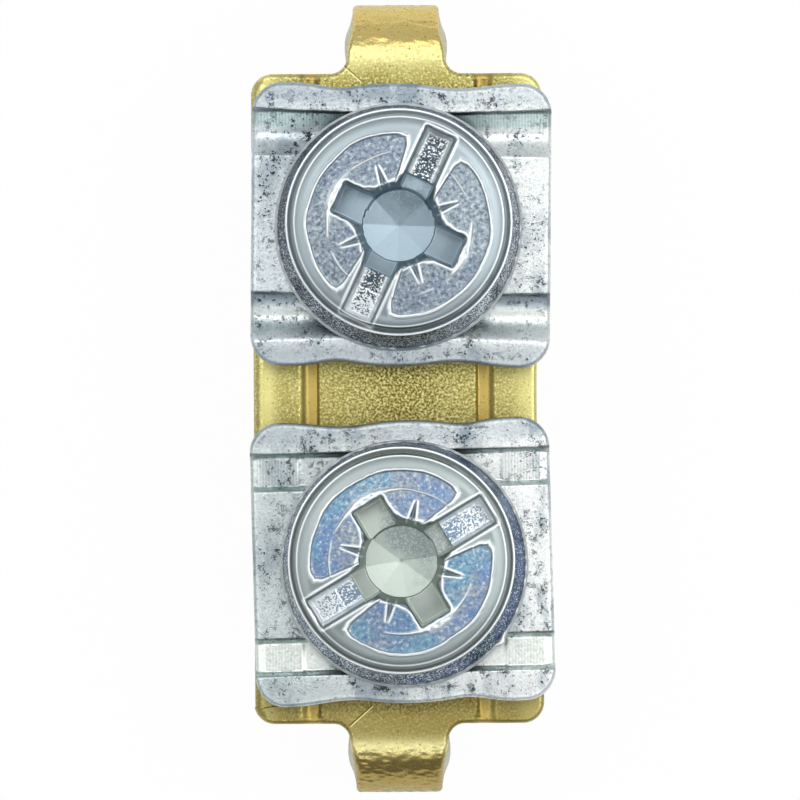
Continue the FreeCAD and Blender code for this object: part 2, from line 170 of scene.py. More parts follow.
def strip_outline():
    """The flat blank's outline, counter-clockwise from the middle of the lower leg's end.

    A quarter is a straight side, a corner arc, a shoulder, the leg's root arc, the leg and its rounded end.
    It is mirrored twice. Each part also has the stretch of the centre line that the skin's rows close in on.
    """
    turn = np.linspace(0.0, math.pi / 2, 12, endpoint=False)
    side = np.linspace(0.0, shoulder_along - corner_radius, 54, endpoint=False)
    root_end = shoulder_along + leg_root_radius
    half_leg = leg_half_width + leg_flare
    shoulder = np.linspace(strip_half_width - corner_radius, half_leg + leg_root_radius, 16, endpoint=False)
    bend = np.linspace(root_end, bend_start + bend_length, 84, endpoint=False)
    leg = np.linspace(bend_start + bend_length, leg_end_along - leg_end_radius, 18, endpoint=False)
    end = np.linspace(leg_half_width - leg_end_radius, 0.0, 8)
    legs = np.concatenate([bend, leg])
    flare = leg_flare * (1.0 - ease(legs, root_end, root_end + leg_flare_length))
    parts = [
        (np.full(side.size, strip_half_width), side, 0.0, 9.6),
        (strip_half_width + corner_radius * (np.cos(turn) - 1.0),
         shoulder_along + corner_radius * (np.sin(turn) - 1.0), 9.6, 9.9),
        (shoulder, np.full(shoulder.size, shoulder_along), 9.9, 10.5),
        (half_leg + leg_root_radius * (1.0 - np.sin(turn)),
         root_end - leg_root_radius * np.cos(turn), 10.5, 11.1),
        (leg_half_width + flare, legs, 11.1, leg_end_along - 0.7),
        (leg_half_width + leg_end_radius * (np.cos(turn) - 1.0),
         leg_end_along + leg_end_radius * (np.sin(turn) - 1.0), leg_end_along - 0.7, leg_end_along - 0.5),
        (end, np.full(end.size, leg_end_along), leg_end_along - 0.5, leg_end_along - 0.4),
    ]
    x = np.concatenate([part[0] for part in parts])
    along = np.concatenate([part[1] for part in parts])
    centre = np.concatenate([np.linspace(part[2], part[3], part[0].size) for part in parts])
    right = np.stack([
        np.concatenate([x[::-1], x[1:]]),
        np.concatenate([-along[::-1], along[1:]]),
        np.concatenate([-centre[::-1], centre[1:]]),
    ])
    left = right[:, ::-1][:, 1:-1] * np.array([[-1.0], [1.0], [1.0]])
    x, along, centre = np.concatenate([right, left], axis=1)
    waist = waist_inset * np.clip(1.0 - (along / waist_half_length) ** 2, 0.0, 1.0)
    x = np.where(x > strip_half_width - 0.01, x - waist, x)
    x = np.where(x < -strip_half_width + 0.01, x + left_inset * (1.0 - ease(along, 8.0, 8.2)), x)
    return x, along, centre


def groove_share(x, along):
    """1 in the two grooves and 0 outside: a wide outer wall, a floor and a steep inner wall."""
    off = np.abs(x)
    across = (1.0 - ease(off, *groove_outer_wall)) * ease(off, *groove_inner_wall)
    return across * (1.0 - ease(np.abs(along), *groove_end))


def bend_share(along):
    """1 over the stretched outside of a bend and 0 on the flat and on the leg."""
    return ease(np.abs(along), *stretch_start) * (1.0 - ease(np.abs(along), *stretch_end))


def skin_height(x, along):
    """The relief of the strip's outer skin, in millimetres.

    The grooves and the leads of the bores are sunk. A bend is wrinkled across in two sizes, bulges where it
    starts and is drawn thinner from there on. The flat is softly wavy, and the clearance keeps it under the
    solid's skin.
    """
    height = -groove_depth * groove_share(x, along)
    fine_wrinkles = np.where(along < 0.0, 0.013, 0.008) * ripple(0.45 * x, along, 0.2, 4.0)
    wrinkles = 0.010 * ripple(0.3 * x, along, 0.38, 1.0) + fine_wrinkles
    height += bend_share(along) * wrinkles - 0.035 * ease(np.abs(along), 11.9, 13.2)
    height += 0.02 * bump_at(np.abs(along), 12.0, 0.4)
    height += 0.004 * ripple(x, along, 1.9, 2.0) * (1.0 - bend_share(along)) - skin_clearance
    for place in screw_places.values():
        lead = 1.0 - ease(np.hypot(x, along - place), bore_radius - 0.02, bore_radius + 0.28)
        height -= bore_lead_depth * lead
    return height


def bar_shell():
    """The strip as rows that run round its outline, from the centre line over the top and back underneath.

    A row is an inset from the outline and a depth. The outer skin's rows close in on the centre line, the
    edge rolls over a quarter circle, and the sheared side swells outwards inside each bend.
    """
    x, along, centre = strip_outline()
    tangent = np.stack([np.roll(x, -1) - np.roll(x, 1), np.roll(along, -1) - np.roll(along, 1)])
    tangent /= np.hypot(*tangent)
    out_x, out_along = tangent[1], -tangent[0]
    roll = np.where(x < -strip_half_width + 0.3, left_edge_roll, edge_roll)
    inset = roll + 0.04
    inner_x = x - out_x * inset
    inner_along = along - out_along * inset
    closing = np.concatenate([
        np.linspace(0.0, 0.56, 14, endpoint=False),
        np.linspace(0.56, 0.8, 24, endpoint=False),
        np.linspace(0.8, 1.0, 11),
    ])[:, None]
    top_x = inner_x * closing
    top_along = centre * (1.0 - closing) + inner_along * closing
    turn = np.linspace(0.0, math.pi / 2, 9)[:, None]
    lower_turn = turn[2::2]
    side_height = strip_thickness - underside_roll - roll
    row_inset = np.concatenate([
        roll * (1.0 - np.sin(turn)),
        np.zeros((7, x.size)),
        np.broadcast_to(underside_roll * (1.0 - np.cos(lower_turn)), (4, x.size)),
    ])
    row_depth = np.concatenate([
        roll * (1.0 - np.cos(turn)),
        roll + side_height * np.linspace(0.1, 1.0, 7)[:, None],
        np.broadcast_to(strip_thickness - underside_roll * (1.0 - np.sin(lower_turn)), (4, x.size)),
    ])
    past = np.abs(along)
    in_bend = bump_at(past, 12.45, 0.75) + 0.35 * ease(past, 12.4, 13.4) * (1.0 - ease(past, 14.3, 15.5))
    swell = side_swell * in_bend * ease(row_depth, 0.2, 0.8)
    side_x = x - out_x * (row_inset - swell)
    side_along = along - out_along * row_inset
    under = np.linspace(1.0, 0.0, 12)[:, None]
    under_x = inner_x * under
    under_along = centre * (1.0 - under) + inner_along * under
    row_x = np.concatenate([top_x, side_x, under_x])
    row_along = np.concatenate([top_along, side_along, under_along])
    depth = np.concatenate([np.zeros_like(top_x), np.broadcast_to(row_depth, side_x.shape),
                            np.full_like(under_x, strip_thickness)])
    on_top = 1.0 - ease(depth, 0.0, strip_thickness)
    groove = groove_share(row_x, row_along) * on_top
    marks = {
        "groove": groove,
        # The grooves' walls are darkened with painted shade.
        "groove_wall_shade": 4.0 * groove * (1.0 - groove),
        "bend": bend_share(row_along) * on_top,
        "sheared": ease(depth, 0.22, 0.4) * (1.0 - ease(depth, 1.15, strip_thickness)),
        # Dark specks across the middle of the width, partly tarnished metal and partly painted shade between
        # the plates.
        "middle": bump_at(row_x, 0.2, 2.3) * (1.0 - ease(np.abs(row_along), 10.2, 10.6)),
        # Paler edges, partly wear and partly painted highlight.
        "edge": np.where(row_x > 0.0, ease(row_x, 3.6, 4.5), bump_at(row_x, -4.3, 0.28)) * on_top,
        # A painted highlight across each bend just past its start.
        "bend_highlight": (0.7 * bump_at(row_along, 11.3, 0.36) + bump_at(row_along, -11.52, 0.28)) * on_top,
    }
    return bend_strip(row_x, row_along, depth - skin_height(row_x, row_along) * on_top), marks


def ring_profile(radii, heights, place):
    """Closed rings about an upright axis at y = place, one for each radius and height of a profile."""
    turn = np.linspace(0.0, 2.0 * math.pi, thread_points, endpoint=False)
    return np.stack([
        np.outer(radii, np.cos(turn)),
        np.outer(radii, np.sin(turn)) + place,
        np.outer(heights, np.ones(thread_points)),
    ], axis=-1)


def collar_shell(place):
    """A collar drawn down out of the strip: flared root, wall, rounded end and a bore with an M4 thread.

    The bore's radius follows a helix: it grows with the distance to the nearest half pitch.
    """
    outer_radii = [3.25, 3.15, 2.98, 2.86, 2.8, 2.8, 2.77, 2.68, 2.4, 2.3]
    outer_heights = [6.45, 6.36, 6.2, 6.02, 5.8, 5.4, 5.27, 5.2, 5.2, 5.22]
    wall = ring_profile(outer_radii, outer_heights, place)
    heights = np.arange(5.3, 7.3, thread_pitch / 10.0)[:, None]
    turn = np.linspace(0.0, 2.0 * math.pi, thread_points, endpoint=False)[None, :]
    phase = (heights / thread_pitch + turn / (2.0 * math.pi)) % 1.0
    radii = bore_radius + bore_thread_depth * np.abs(2.0 * phase - 1.0)
    bore = np.stack([radii * np.cos(turn), radii * np.sin(turn) + place,
                     np.broadcast_to(heights, radii.shape)], axis=-1)
    lid = ring_profile([2.3, 3.25, 3.25], [7.35, 7.35, 6.45], place)
    return np.concatenate([wall, bore, lid])


def linear(hex_colour):
    """A linear colour with alpha from an sRGB hex colour."""
    parts = [int(hex_colour[i:i + 2], 16) / 255.0 for i in (1, 3, 5)]
    return tuple(p / 12.92 if p <= 0.04045 else ((p + 0.055) / 1.055) ** 2.4 for p in parts) + (1.0,)


def add_node(tree, kind, settings, inputs):
    """Adds a node with its settings. An input is a number, an sRGB hex colour or another node's output."""
    node = tree.nodes.new("ShaderNode" + kind)
    for name, value in settings.items():
        setattr(node, name, value)
    for name, value in inputs.items():
        if isinstance(value, bpy.types.NodeSocket):
            tree.links.new(value, node.inputs[name])
        else:
            node.inputs[name].default_value = linear(value) if isinstance(value, str) else value
    return node


def start_metal(name, mark_names):
    """A material with an empty tree, its object coordinates, and the piece's marks as shares by name."""
    material = bpy.data.materials.new(name)
    material.use_nodes = True
    tree = material.node_tree
    tree.nodes.clear()
    where = add_node(tree, "TexCoord", {}, {}).outputs["Object"]
    shares = {mark: add_node(tree, "Attribute", {"attribute_name": mark}, {}).outputs["Fac"]
              for mark in mark_names}
    return material, tree, where, shares


def lay_over(tree, surface, shares, layers):
    """Lays thin layers over a surface. A layer is the name of its share, its strength and its colour."""
    for share, strength, colour in layers:
        part = add_node(tree, "Math", {"operation": "MULTIPLY"}, {0: shares[share], 1: strength}).outputs[0]
        surface = add_node(tree, "Mix", {"data_type": "RGBA"}, {0: part, 6: surface, 7: colour}).outputs[2]
    return surface


def end_metal(tree, mirror_colour, rough, relief):
    """Gives a bare metal's tree its shader, with the mirror's colour, the roughness and the fine relief."""
    shader = add_node(tree, "BsdfPrincipled", {}, {
        "Base Color": mirror_colour, "Metallic": 1.0, "Roughness": rough, "Normal": relief})
    add_node(tree, "OutputMaterial", {}, {"Surface": shader.outputs["BSDF"]})


def stamped_brass():
    """Brass strip with 37 % zinc, cold rolled and then stamped: a mirror of a greenish yellow.

    Rolling leaves a satin grain of 0.08 mm. An olive colour darkens the strip towards the lower leg, a
    painted shade, and dark specks gather across the middle of its width, partly tarnished metal and partly
    painted shade between the clamp plates. The stretched skin of the bends is redder and smoother, and a
    pale painted highlight lies across each bend just past its start. The edges are paler, partly wear and
    partly painted highlight, the grooves' walls are darker with painted shade, and the sheared sides are
    greyer. A scratch is the strip of points that lie close to its line, in the line's own frame, and each is
    drawn as a dark line of painted shade beside a bright line of painted highlight.
    """
    material, tree, where, shares = start_metal(
        "stamped_brass", ("groove", "groove_wall_shade", "bend", "sheared", "middle", "edge", "bend_highlight"))
    grain = add_node(tree, "TexNoise", {}, {
        "Vector": where, "Scale": 1000 / 0.08, "Detail": 2.0, "Roughness": 0.55}).outputs["Fac"]
    clouds = add_node(tree, "TexNoise", {}, {
        "Vector": where, "Scale": 1000 / 2.2, "Detail": 4.0, "Roughness": 0.6}).outputs["Fac"]
    along = add_node(tree, "SeparateXYZ", {}, {"Vector": where}).outputs["Y"]
    # The olive share along Y darkens the strip towards the lower leg, a painted shade.
    for share, pattern, none, full in (
            ("grain_pit", grain, 0.44, 0.6), ("glint", grain, 0.44, 0.34), ("pepper", grain, 0.66, 0.72),
            ("cloud", clouds, 0.38, 0.66), ("lower_leg_shade", along, 0.001, -0.0105)):
        shares[share] = add_node(tree, "MapRange", {}, {
            "Value": pattern, "From Min": none, "From Max": full}).outputs["Result"]
    # The specks' strength, greatest across the middle, is partly tarnished metal and partly painted shade.
    middle_stain_and_shade = add_node(tree, "Math", {"operation": "MULTIPLY_ADD"}, {
        0: shares["middle"], 1: 0.7, 2: 0.3}).outputs[0]
    shares["speck"] = add_node(tree, "Math", {"operation": "MULTIPLY"}, {
        0: shares["grain_pit"], 1: middle_stain_and_shade}).outputs[0]
    # Painted light among these layers: the lower leg's olive shade, the darker groove walls, the bend
    # highlights, the scratches' two sides, and in part the paler edges and the middle's specks.
    layers = [
        ("cloud", 1.0, "#b9ad63"), ("glint", 1.0, "#e9e2a4"), ("speck", 1.0, "#645b2c"),
        ("edge", 0.75, "#f4ec9e"), ("bend", 0.8, "#e6ca7c"), ("lower_leg_shade", 0.57, "#85703a"),
        ("groove", 1.0, "#c3aa60"), ("groove_wall_shade", 1.0, "#a39554"), ("bend_highlight", 0.8, "#f2eaa8"),
        ("pepper", 1.0, "#6b5c30"),
    ]
    for scratch, (start_x, start_y, end_x, end_y, colour) in scratches.items():
        half_length = 0.5 * 0.001 * math.hypot(end_x - start_x, end_y - start_y)
        turn = math.atan2(end_y - start_y, end_x - start_x)
        from_start = add_node(tree, "Mapping", {"vector_type": "TEXTURE"}, {
            "Vector": where, "Location": (0.001 * start_x, 0.001 * start_y, 0.0),
            "Rotation": (0.0, 0.0, turn)}).outputs["Vector"]
        way = add_node(tree, "SeparateXYZ", {}, {"Vector": from_start})
        beside = add_node(tree, "Math", {"operation": "COMPARE"}, {
            0: way.outputs["X"], 1: half_length, 2: half_length}).outputs[0]
        close = add_node(tree, "Math", {"operation": "COMPARE"}, {
            0: way.outputs["Y"], 1: 0.0, 2: 0.001 * scratch_half_width}).outputs[0]
        shares[scratch] = add_node(tree, "Math", {"operation": "MULTIPLY"}, {0: beside, 1: close}).outputs[0]
        layers.append((scratch, 1.0, colour))
    layers.append(("sheared", 1.0, "#c9c8b4"))
    surface = lay_over(tree, "#cfc67e", shares, layers)
    rough = add_node(tree, "MapRange", {}, {
        "Value": grain, "From Min": 0.3, "From Max": 0.7, "To Min": 0.34, "To Max": 0.5}).outputs["Result"]
    smoother = add_node(tree, "Math", {"operation": "MULTIPLY_ADD"}, {
        0: shares["bend"], 1: -0.16, 2: rough}).outputs[0]
    relief = add_node(tree, "Bump", {}, {"Strength": 0.6, "Distance": 0.000012, "Height": grain})
    end_metal(tree, surface, smoother, relief.outputs["Normal"])
    return material


bar_rings, bar_marks = bar_shell()
collar_marks = dict.fromkeys(bar_marks, 0.0)
collar_marks["sheared"] = 0.6
collars = [(collar_shell(place), collar_marks) for place in screw_places.values()]
bar = make_piece("brass_bar", [(bar_rings, bar_marks), *collars])
bar.data.materials.append(stamped_brass())
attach(bar, "bar")
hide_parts("terminal_bar")


# Clamp plates
# Two square plates pressed from 0.9 mm steel and zinc plated. A channel across each side of the screw hole
# stands out underneath as a rib that bites on the wire. A screw holds each plate to the bar.

plate_thickness = 0.9
plate_half_width = 4.938
plate_half_length = 4.675
plate_corner_radius = 1.0
plate_edge_roll = 0.16
plate_centre_x = 0.14
dip_middle = 1.95
dip_spread = 0.95
dip_depth = 0.17
rib_depth = 0.4
rib_wall = 0.25
bowl_outer = {"up": 3.78, "down": 3.86}
bowl_inner = 2.25
bowl_flare = 0.035
flat_outer = 3.66
flat_inner = 2.42
coined_step = 0.05
plate_turns = {"upper": -0.7, "lower": 1.3}
plate_waves = {"upper": 0.4, "lower": 2.6}
plate_seeds = {"upper": 3.0, "lower": 5.0}
plating_seeds = {"upper": 3, "lower": 10}
# The plates' colours run from the first at the left to the second at the right, a painted reflection of a
# room brighter to the right.
plate_colours = {"upper": ("#dbe3e6", "#f1f5f2"), "lower": ("#ced7d5", "#fafcf9")}


def plate_end(x, wave):
    """The half length of a plate at x: a straight end with two shallow dips, uneven from press to press."""
    dips = bump_at(np.abs(x), dip_middle, dip_spread) * (dip_depth + 0.03 * np.sin(2.0 * x + wave))
    return plate_half_length - dips - 0.02 * np.sin(0.9 * x + wave)


def side_distance(x, y, end):
    """How far inside the plate's outline a point is: the distance to a rectangle with rounded corners."""
    across = np.abs(x) - (plate_half_width - plate_corner_radius)
    lengthwise = np.abs(y) - (end - plate_corner_radius)
    outside = np.hypot(np.maximum(across, 0.0), np.maximum(lengthwise, 0.0))
    return plate_corner_radius - outside - np.minimum(np.maximum(across, lengthwise), 0.0)


def arc_fall(past, radius):
    """How far a quarter circle has fallen when it is past its start: r - sqrt(r^2 - past^2)."""
    return radius - np.sqrt(np.clip(radius ** 2 - np.clip(past, 0.0, radius) ** 2, 0.0, None))


def channel_share(off, outer, inner, outer_wall, inner_wall):
    """1 on a channel's floor and 0 outside it, with a straight outer wall and inner wall. off is |y|."""
    return np.clip((outer - off) / outer_wall, 0.0, 1.0) * np.clip((off - inner) / inner_wall, 0.0, 1.0)


def plate_heights(x, y, end, which):
    """Heights of a plate's upper and lower skin over its ribs' bottoms, and its marks, over a grid.

    The upper plate's channels are bowls 4t(1 - t), with a small crisp step at the edge that looks down the
    picture. Their other edge is soft, because t starts there as a square. The lower plate's are flat, with
    steep walls, and coined at the ends.
    """
    off = np.abs(y)
    if which == "upper":
        flare = bowl_flare * (np.abs(x) - 4.0)
        outer = np.where(y > 0.0, bowl_outer["up"], bowl_outer["down"]) + flare
        inner = bowl_inner - 0.4 * flare
        across = np.clip((off - inner) / (outer - inner), 0.0, 1.0)
        up = np.where(y > 0.0, across, 1.0 - across)
        soft = (up ** 2 / (up + 0.1 * (1.0 - up))) ** np.where(y > 0.0, 0.65, 0.95)
        steps = ease(up, 0.0, 0.55) * np.clip((1.0 - up) / 0.03, 0.0, 1.0)
        share = 0.48 * steps + 0.52 * 4.0 * soft * (1.0 - soft)
        # A dark line of painted shadow along the channel's edge towards the top of the picture, where its
        # wall faces down it.
        step_shadow = np.where(y > 0.0, bump_at(off, outer - 0.03, 0.05), bump_at(off, inner + 0.03, 0.06))
        coined = teal = ease(across, 0.58, 0.7) * steps
        starved = np.where(y < 0.0, 2.6 * bump_at(off, inner + 0.26, 0.22),
                           0.4 * ease(off, 3.9, 4.3) * (1.0 - ease(x, -1.0, 3.0)))
        # A pale band of painted highlight in the channel towards the bottom of the picture.
        pale = 0.7 * (y < 0.0) * ease(across, 0.16, 0.36) * (1.0 - ease(across, 0.46, 0.64))
        pad = 0.0
    else:
        outer, inner = flat_outer, flat_inner
        share = steps = channel_share(off, outer, inner, 0.14, 0.17)
        # A dark line of painted shadow along the channel's edge towards the top of the picture, where its
        # wall faces down it.
        step_shadow = np.where(y > 0.0, bump_at(off, outer - 0.02, 0.04), bump_at(off, inner + 0.02, 0.04))
        coined = (share > 0.98) * ease(np.abs(x), 3.3, 3.36) * (1.0 - ease(np.abs(x), 4.66, 4.74))
        # A pale band of painted highlight on the channel floors, strongest towards the bottom of the
        # picture.
        pale = (share > 0.98) * (0.1 + 1.15 * (y < 0.0)) * ease(np.abs(x), 2.4, 3.0)
        teal = 4.0 * share * (1.0 - share)
        starved = -0.7 * ease(off, 3.7, 4.2) * (y < 0.0)
        pad = coined_step * coined
    inside = side_distance(x, y, end)
    roll = arc_fall(plate_edge_roll - inside, plate_edge_roll)
    droop = 0.018 * ease(off, 3.9, 4.9) + 0.03 * ease(np.abs(x), 3.6, 5.0)
    seed = plate_seeds[which]
    uneven = 0.007 * ripple(x, y, 2.6, seed) + 0.002 * ripple(x, y, 0.7, seed)
    upper = rib_depth + plate_thickness - rib_depth * share + pad - roll - droop + uneven * (1.0 - steps)
    rib = channel_share(off, outer - 0.05, inner + 0.05, rib_wall, rib_wall)
    lower = rib_depth - rib_depth * rib
    marks = {
        "coined": coined * (1.0 - 0.4 * (y < 0.0)),
        "teal": teal,
        "pale": pale,
        "lip": 1.0 - ease(inside, 0.08, 0.25),
        "starved": ease(off, 3.7, 4.2) + starved,
        "step_shadow": step_shadow * np.clip(0.75 + 0.5 * ripple(x, y, 1.7, seed + 4.0), 0.0, 1.0),
    }
    return upper, np.minimum(lower, upper - 0.2), marks


def plate_shell(which):
    """A plate as closed sections across Y, one at each station along X, set on the bar.

    A section's upper skin runs from one end to the other and its lower skin back. The stations close up on
    the rounded corners along a sine, where the end falls back along the corner's circle. The first and last
    sections fold flat to shut the sides. The plate is then turned about its own upright axis.
    """
    corner = np.linspace(0.0, math.pi / 2, 16)
    straight = plate_half_width - plate_corner_radius
    half = np.concatenate([np.linspace(0.0, straight, 62, endpoint=False),
                           straight + plate_corner_radius * np.sin(corner)])
    station = np.concatenate([-half[::-1], half[1:]])[:, None]
    end = plate_end(station, plate_waves[which])
    share = np.concatenate([
        np.linspace(0.0, 0.46, 20, endpoint=False),
        np.linspace(0.46, 0.86, 52, endpoint=False),
        np.linspace(0.86, 0.96, 12, endpoint=False),
        1.0 - 0.04 * (1.0 - np.sin(np.linspace(0.0, math.pi / 2, 10))),
    ])
    share = np.concatenate([-share[::-1], share[1:]])[None, :]
    fall = arc_fall(np.abs(station) - straight, plate_corner_radius)
    y = share * (end - fall * np.clip(np.abs(share) * 1.6 - 0.6, 0.0, 1.0))
    x = np.broadcast_to(station, y.shape)
    upper, lower, marks = plate_heights(x, y, end, which)
    turn = math.radians(plate_turns[which])
    turned_x = x * math.cos(turn) - y * math.sin(turn) + plate_centre_x
    turned_y = x * math.sin(turn) + y * math.cos(turn) + screw_places[which]
    top, middle, bottom = (np.stack([turned_x, turned_y, skin + strip_top], axis=-1)
                           for skin in (upper, 0.5 * (upper + lower), lower))
    sections = np.concatenate([top, bottom[:, ::-1]], axis=1)
    folded = np.concatenate([middle, middle[:, ::-1]], axis=1)
    rings = np.concatenate([folded[:1], sections, folded[-1:]])
    for name, mark in marks.items():
        both = np.broadcast_to(mark, x.shape)
        both = np.concatenate([both, both[:, ::-1]], axis=1)
        marks[name] = np.concatenate([both[:1], both, both[-1:]])
    return rings, marks


def plated_steel(name, cool, lit_right, seed):
    """Mild steel, pressed, zinc plated and blue passivated: a light bluish metal with a satin mirror.

    Plating leaves a grain of about 0.1 mm, dark pits of 0.05 to 0.15 mm where it is starved, and grey clouds
    where it is thin. The coined strips are scored every 0.1 mm and look greenish. A dark line of painted
    shadow runs along each channel's edge towards the top of the picture, where its wall faces down the
    picture, and a pale band of painted highlight lies in the channels, most in those towards the bottom of
    the picture. cool is the colour at the left and the next argument the colour at the right; the change
    between them is a painted reflection of a room that is brighter to the right. seed moves the patterns.
    """
    material, tree, where, shares = start_metal(name, ("coined", "teal", "pale", "lip", "starved", "step_shadow"))
    shifted = add_node(tree, "Mapping", {}, {
        "Vector": where, "Location": (0.001 * seed, 0.002 * seed, 0.0)}).outputs["Vector"]
    streaked = add_node(tree, "Mapping", {}, {
        "Vector": where, "Location": (0.002 * seed, 0.001 * seed, 0.0),
        "Rotation": (0.0, 0.0, 0.3), "Scale": (1.0, 0.45, 1.0)}).outputs["Vector"]
    clouds, grain, blotches = (
        add_node(tree, "TexNoise", {}, {
            "Vector": place, "Scale": 1000 / width, "Detail": detail, "Roughness": roughness}).outputs["Fac"]
        for place, width, detail, roughness in (
            (streaked, 1.5, 6.0, 0.68), (shifted, 0.12, 2.0, 0.6), (shifted, 0.45, 7.0, 0.85)))
    across = add_node(tree, "SeparateXYZ", {}, {"Vector": where}).outputs["X"]
    cells = add_node(tree, "TexVoronoi", {}, {"Vector": shifted, "Scale": 1000 / 0.21})
    chosen = add_node(tree, "SeparateColor", {}, {"Color": cells.outputs["Color"]})
    reach = add_node(tree, "Math", {"operation": "MULTIPLY_ADD"}, {
        0: chosen.outputs["Red"], 1: 0.4, 2: -0.16}).outputs[0]
    gap = add_node(tree, "Math", {"operation": "SUBTRACT"}, {
        0: reach, 1: cells.outputs["Distance"]}).outputs[0]
    shares["clouds"], shares["grain"] = clouds, grain
    # A wave texture's bands lie pi / 10 apart at scale 1, and this scale puts them 0.1 mm apart
    shares["lines"] = add_node(tree, "TexWave", {"bands_direction": "X"}, {
        "Vector": where, "Scale": 1000 * math.pi / 10.0 / 0.1, "Distortion": 0.5,
        "Detail Scale": 3.0}).outputs["Fac"]
    for share, pattern, none, full, least, most in (
            ("right", across, -0.0042, 0.0038, 0.0, 1.0), ("thin", clouds, 0.5, 0.36, 0.0, 0.7),
            ("grit", grain, 0.5, 0.66, 0.0, 0.4), ("dots", gap, -0.03, 0.05, 0.0, 1.0),
            ("patches", blotches, 0.56, 0.6, 0.0, 1.0), ("clustered", clouds, 0.6, 0.42, 0.08, 1.0),
            ("pepper", grain, 0.64, 0.69, 0.0, 1.0), ("rough", grain, 0.3, 0.7, 0.3, 0.44)):
        shares[share] = add_node(tree, "MapRange", {}, {
            "Value": pattern, "From Min": none, "From Max": full,
            "To Min": least, "To Max": most}).outputs["Result"]
    # The shares' arithmetic: a part is the name of a share or a number
    for share, operation, *parts in (
            # The right-hand colour's share, wandering with the clouds, is a painted reflection.
            ("sway", "MULTIPLY_ADD", "clouds", 1.6, -0.8), ("lit_right", "ADD", "right", "sway"),
            ("clouded", "MULTIPLY_ADD", "starved", 0.5, "thin"),
            ("crowding", "MULTIPLY_ADD", "starved", 0.12, "clustered"),
            ("density", "MINIMUM", "crowding", 1.0),
            ("larger", "MAXIMUM", "dots", "patches"), ("any_pit", "MAXIMUM", "larger", "pepper"),
            ("pits_here", "MULTIPLY", "any_pit", "density"),
            ("smooth", "MAXIMUM", "pale", "lip"), ("fewer", "MULTIPLY_ADD", "smooth", -0.8, 1.0),
            ("pits", "MULTIPLY", "pits_here", "fewer"), ("scored", "MULTIPLY", "lines", "coined"),
            ("rougher", "MULTIPLY_ADD", "pits", 0.25, "rough"),
            ("roughest", "MULTIPLY_ADD", "lip", 0.12, "rougher"),
            ("sunk", "MULTIPLY_ADD", "pits", -1.6, "grain")):
        inputs = {number: shares.get(part, part) for number, part in enumerate(parts)}
        shares[share] = add_node(tree, "Math", {"operation": operation}, inputs).outputs[0]
    # Painted light among these layers: the brighter right-hand colour, the pale bands and the dark lines
    # along the channels' edges.
    surface = lay_over(tree, cool, shares, [
        ("lit_right", 1.0, lit_right), ("clouded", 1.0, "#97a4ac"), ("grit", 1.0, "#8b979c"),
        ("teal", 0.75, "#b3cac6"), ("pale", 0.75, "#f3f7f0"), ("pits", 1.0, "#414a50"),
        ("scored", 0.3, "#6f7f80"), ("step_shadow", 0.85, "#39424a")])
    relief = add_node(tree, "Bump", {}, {"Strength": 0.7, "Distance": 0.000012, "Height": shares["sunk"]})
    end_metal(tree, surface, shares["roughest"], relief.outputs["Normal"])
    return material


for which in screw_places:
    plate = make_piece(which + "_clamp_plate", [plate_shell(which)])
    plate_steel = plated_steel(which + "_plated_steel", *plate_colours[which], plating_seeds[which])
    plate.data.materials.append(plate_steel)
    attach(plate, which + "_plate")
    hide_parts(which + "_clamp")


# Screws
# Two M4 by 8 pan-head screws, cold headed from steel wire, thread rolled and zinc plated. The head's punch
# leaves a slot, a ticked cross recess and a line round it. Each screw draws its plate down to the bar.

head_under = 8.9
foot_radius = 4.08
underside_radius = 3.9
rim_radius = 3.69
valley_radius = 3.57
band_radius = 3.44
plateau_radius = 3.04
line_radius = 2.38
head_crown = 2.395
crown_fall = 0.15
band_fall = 0.12
rim_height = 1.46
bead_height = 0.02
pad_depth = 0.045
ridge_height = 0.03
slot_half_length = 3.4
slot_half_width = 0.58
slot_depth = 1.0
long_arm_half = (1.78, 0.58)
cross_arm_half = (0.6, 2.24)
well_radius = 1.42
mouth_radius = 1.36
mouth_depth = 0.85
recess_depth = 1.35
pit_radius = 1.2
pit_fall = 0.22
tick_start = 1.2
tick_end = 2.1
tick_half_width = 0.1
tick_depth = 0.14
slot_angles = {"upper": 65.0, "lower": 31.0}
head_shifts = {"upper": (0.07, 0.07), "lower": (0.1, 0.07)}
foot_leans = {"upper": (-0.01, -0.15), "lower": (0.11, -0.15)}
punch_shifts = {"upper": (0.0, -0.1), "lower": (0.0, -0.03)}
rugged_sides = {"upper": -75.0, "lower": 215.0}
sooty_slots = {"upper": 1.05, "lower": 0.35}
foot_burrs = {"upper": 0.0, "lower": 0.12}
burr_angle = 321.0
head_seeds = {"upper": 1.3, "lower": 4.1}
film_seeds = {"upper": 2, "lower": 11}
head_points = 460
thread_radius = 1.95
thread_depth = 0.36
shank_length = 8.0
screw_marks = ("pad", "polish_and_highlight", "slot_floor", "recess", "pit", "shade", "side", "rugged", "sooty")
# side_left, side_right and side_film paint the head's side dark, a painted reflection of dark surroundings,
# and shade is the colour of painted shade.
screw_colours = {
    "upper": {
        "plain": "#98a3a7", "pad": "#8e99a3", "film": "#8995a5", "tinge": "#98a3aa", "speck": "#5f6c7c",
        "pit": "#8fa0a9", "arm": "#a5b6c0", "crumb": "#4d5a64", "shade": "#4a5e6a",
        "side_left": "#1f2a3a", "side_right": "#435064", "side_film": "#2f3b56"},
    "lower": {
        "plain": "#949d9c", "pad": "#99a1a6", "film": "#708db5", "tinge": "#7ba3b4", "speck": "#667a9c",
        "pit": "#a8b2aa", "arm": "#c9d2ca", "crumb": "#8195ab", "shade": "#5a6563",
        "side_left": "#3a4546", "side_right": "#1d4260", "side_film": "#24487c"},
}


